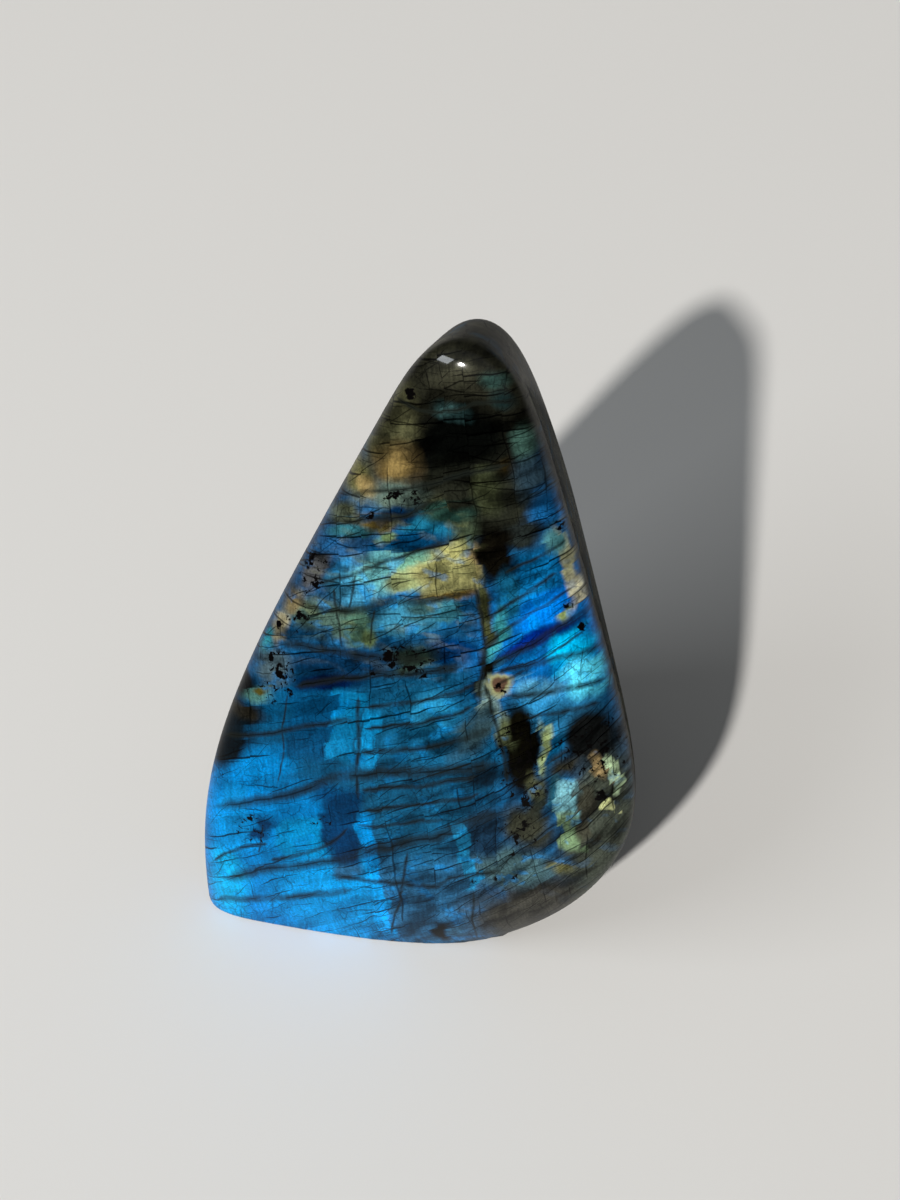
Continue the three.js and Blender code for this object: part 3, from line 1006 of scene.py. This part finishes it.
# %% Lay cracks and grains over the colours
CRACK_BROWN = paint(28, 32, 28)
CRACK_BLACK = paint(5, 6, 6)
GRAIN_BLACK = paint(7, 6, 6)
SHADE_SHARE = 0.75
CORE_SHARE = 0.65

face_colour = times(flash, 1 - hairlines)
face_colour = blend_colours(crack_shade * SHADE_SHARE, face_colour, CRACK_BROWN)
face_colour = blend_colours(crack_core * CORE_SHARE, face_colour, CRACK_BLACK)
face_colour = blend_colours(grains, face_colour, GRAIN_BLACK)
print("the face's colours are in one wire")

# %% [markdown]
# ## The sides and the back
#
# Labradorite flashes only where the sheet faces outwards. Round the edges, on the sides
# and on the back the same stone is a dark olive grey feldspar: cloudy and mottled, with
# a few dull blue gleams, black pods and cracks along its beds and across them. It is
# made of textures in three dimensions, which run through the stone without seams.

# %% Plain feldspar
CLOUD_SIZE = 15
MOTTLE_SIZE = 2.2
CONTRAST_SPAN = (0.3, 0.7)
POD_SIZE = 9
POD_SPAN = (0.42, 0.3)
GLEAM_SIZE = (11, 11, 2.6)
GLEAM_SPAN = (0.54, 0.7)
GLEAM_SHARE = 0.7
BED_TILT = (radians(20), radians(-18), 0)
BED_WANDER = 5
BED_WAVE = 16
BED_CRACK_DARKNESS = 0.85
BED_CRACKS = {
    "along the beds": ((0, 0.25, 1), 4.6, 0.3),
    "across the beds": ((0.9, 0.3, 0.35), 7.5, 0.24),
}

in_mm = mapped(coordinates, scale=(1 / MM, 1 / MM, 1 / MM))
bedded = mapped(in_mm, rotation=BED_TILT)
clouds = cloud(bedded, 1 / CLOUD_SIZE, 5.0, "3D")
mottle = cloud(bedded, 1 / MOTTLE_SIZE, 3.0, "3D")
pods = cloud(bedded, 1 / POD_SIZE, 3.0, "3D")
gleams = cloud(vector_math("DIVIDE", bedded, GLEAM_SIZE), 1, 3.0, "3D")
feldspar = blend_colours(smooth(clouds, *CONTRAST_SPAN), paint(38, 38, 31), paint(92, 90, 76))
feldspar = blend_colours(smooth(gleams, *GLEAM_SPAN) * GLEAM_SHARE, feldspar, paint(34, 78, 104))
feldspar = times(feldspar, ramp(mottle, *CONTRAST_SPAN, 0.55, 1.4))
feldspar = blend_colours(smooth(pods, *POD_SPAN), feldspar, paint(9, 9, 8))
bed_cracks = 0
for straight_across, spacing, width in BED_CRACKS.values():
    across = vector_math("DOT_PRODUCT", bedded, straight_across, "Value")
    across = across + BED_WANDER * cloud(bedded, 1 / BED_WAVE, 3.0, "3D")
    away = slices(across, spacing, "DISTANCE_TO_EDGE", "Distance") * spacing
    opened = smooth(cloud(bedded, 2 / spacing, 2.0, "3D"), 0.46, 0.62)
    bed_cracks = larger(smooth(away, opened * width, 0), bed_cracks)
feldspar = times(feldspar, 1 - BED_CRACK_DARKNESS * bed_cracks)
print("plain feldspar ready")

# %% [markdown]
# How far a place turns away from the front decides between the two. The normal is the
# stone's own, so the border stays in place from every view.

# %% Join the face to the sides
FRONT = direction(-90, 28)
FULL_FLASH = 0.25
NO_FLASH = -0.08
RAGGEDNESS = 0.2
RAGGED_SIZE = 5
SAWN_SPAN = (0.93, 0.98)

own_normal = look.node("ShaderNodeTexCoord", {}, {}, "Normal")
facing = vector_math("DOT_PRODUCT", own_normal, tuple(FRONT), "Value")
ragged = facing + RAGGEDNESS * (cloud(bedded, 1 / RAGGED_SIZE, 3.0, "3D") - 0.5)
front_share = smooth(ragged, NO_FLASH, FULL_FLASH)
colour = blend_colours(front_share, feldspar, face_colour)
underneath = vector_math("DOT_PRODUCT", own_normal, (0, 0, -1), "Value")
sawn = smooth(underneath, *SAWN_SPAN)
print("flash fades between", NO_FLASH, "and", FULL_FLASH)

# %% [markdown]
# ## The polish
#
# The flash is a broad, metal-like gleam from thin layers inside, so the base is partly
# metallic and rather rough, and a clear coat over it is the polish. The coat is weak, so
# that the mirrored table veils the blue only a little, and strongest on the brow, which
# catches the sun and the window. The sawn base was left matt. The bump acts only under
# the coat, and its silky grain breaks the gleam into fine streaks. The face also gets a
# little emission, a painted glow of its own colours that brightens it even where the
# sun strikes at a slant.

# %% The finish
FLASH_METAL = 0.5
PAINTED_GLOW_STRENGTH = 0.18
BASE_ROUGHNESS = 0.42
SIDE_POLISH = 0.17
FACE_POLISH = 0.1
BROW_POLISH = 0.85
BROW_FACING = (0.6, 0.85)
BROW_HEIGHT = (117, 124)
SAWN_ROUGHNESS = 0.7
GRAIN_DEPTH = 0.05 * MM
GRAIN_STRENGTH = 0.3

metal = front_share * FLASH_METAL * (1 - grains)
on_brow = smooth(facing, *BROW_FACING) * smooth(v, *BROW_HEIGHT)
polish = ramp(front_share, 0, 1, SIDE_POLISH, FACE_POLISH) + on_brow * BROW_POLISH
bump = look.node(
    "ShaderNodeBump", {}, {"Strength": GRAIN_STRENGTH, "Distance": GRAIN_DEPTH, "Height": streaks}
)
# Painted glow: the face's own colours are given back as emission, so the face shines a little
# without any lamp.
glow = blend_colours(front_share, (0, 0, 0, 1), face_colour)
surface = look.node(
    "ShaderNodeBsdfPrincipled",
    {},
    {
        "Base Color": colour,
        "Emission Color": glow,
        "Emission Strength": PAINTED_GLOW_STRENGTH,
        "Metallic": metal,
        "Roughness": ramp(sawn, 0, 1, BASE_ROUGHNESS, SAWN_ROUGHNESS),
        "IOR": 1.56,
        "Specular IOR Level": 0,
        "Coat Weight": (1 - sawn) * polish,
        "Coat Roughness": 0.08,
        "Coat IOR": 1.5,
        "Normal": bump,
    },
)
look.node("ShaderNodeOutputMaterial", {}, {"Surface": surface})
stone.data.materials.append(labradorite)
print("nodes in the stone's material:", len(look.tree.nodes))

# %% [markdown]
# ## Light, floor and room
#
# Sun from the front left throws the stone's shadow back to the right. A soft window
# farther to the left and a dim sky fill it in, and the window leaves a pale gleam on the
# brow beside the sun's own bright spot. The sky stays dark near the horizon, which the
# polished face mirrors, because a bright sky there would veil the colours in grey.

# %% Light
SUN_FROM = (-102.8, 37.3)
SUN_STRENGTH = 3.5
SUN_WIDTH = 2.5
WINDOW_FROM = (-142, 42)
WINDOW_AWAY = 1.0
WINDOW_SIZE = (0.6, 0.2)
WINDOW_POWER = 3.0
WINDOW_AIM = Vector((0, 0, 0.1))
SKY_STRENGTH = 0.17
SKY_LEAST = 0.01
SKY_DARK_BELOW = 0.2
SKY_FULL_ABOVE = 0.75

sun = add_to_scene("sun", bpy.data.lights.new("sun", "SUN"))
sun.data.energy = SUN_STRENGTH
sun.data.angle = radians(SUN_WIDTH)
sun.data.color = (1, 0.975, 0.94)
sun.matrix_world = looking_at(Vector(), 0, *SUN_FROM)

window = add_to_scene("window", bpy.data.lights.new("window", "AREA"))
window.data.shape = "RECTANGLE"
window.data.size, window.data.size_y = WINDOW_SIZE
window.data.energy = WINDOW_POWER
window.data.color = (0.9, 0.95, 1)
window.matrix_world = looking_at(WINDOW_AIM, WINDOW_AWAY, *WINDOW_FROM)

studio = bpy.data.worlds.new("studio")
bpy.context.scene.world = studio
sky = Recipe(studio)
sky_direction = sky.node("ShaderNodeTexCoord", {}, {}, "Generated")
sky_height = sky.node("ShaderNodeSeparateXYZ", {}, {0: sky_direction}, "Z")
sky_strength = smooth(sky_height, SKY_DARK_BELOW, SKY_FULL_ABOVE) * SKY_STRENGTH + SKY_LEAST
background = sky.node(
    "ShaderNodeBackground", {}, {"Color": (0.93, 0.97, 1, 1), "Strength": sky_strength}
)
sky.node("ShaderNodeOutputWorld", {}, {"Surface": background})
bpy.context.scene.view_settings.view_transform = "Standard"
print("sun from", SUN_FROM)

# %% Floor
FLOOR_SIDE = 6
FADE_START = 0.35
FADE_END = 1.3
NEAR_TONE = (0.7, 0.69, 0.67, 1)
PAINTED_SHADE_TONE = (0.16, 0.16, 0.16, 1)

plane = bmesh.new()
bmesh.ops.create_grid(plane, x_segments=4, y_segments=4, size=FLOOR_SIDE / 2)
bmesh.ops.translate(plane, verts=plane.verts, vec=(0, 0, low.z))
floor_mesh = bpy.data.meshes.new("floor")
plane.to_mesh(floor_mesh)
plane.free()
floor = add_to_scene("floor", floor_mesh)
tabletop = bpy.data.materials.new("pale_tabletop")
paper = Recipe(tabletop)
floor_place = paper.node("ShaderNodeTexCoord", {}, {}, "Object")
from_stone = vector_math("LENGTH", floor_place, (0, 0, 0), "Value")
# Painted shade: the floor is pale near the stone and fades to dark grey far from it, a pool of
# light painted round the stone.
tone = smooth(from_stone, FADE_START, FADE_END)
floor_colour = blend_colours(tone, NEAR_TONE, PAINTED_SHADE_TONE)
matt = paper.node(
    "ShaderNodeBsdfPrincipled",
    {},
    {"Base Color": floor_colour, "Roughness": 0.85, "Specular IOR Level": 0.1},
)
paper.node("ShaderNodeOutputMaterial", {}, {"Surface": matt})
floor.data.materials.append(tabletop)
print("floor", FLOOR_SIDE, "m wide")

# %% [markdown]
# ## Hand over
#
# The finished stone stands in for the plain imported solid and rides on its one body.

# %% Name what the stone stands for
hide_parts("polished_labradorite")
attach(stone, "root")
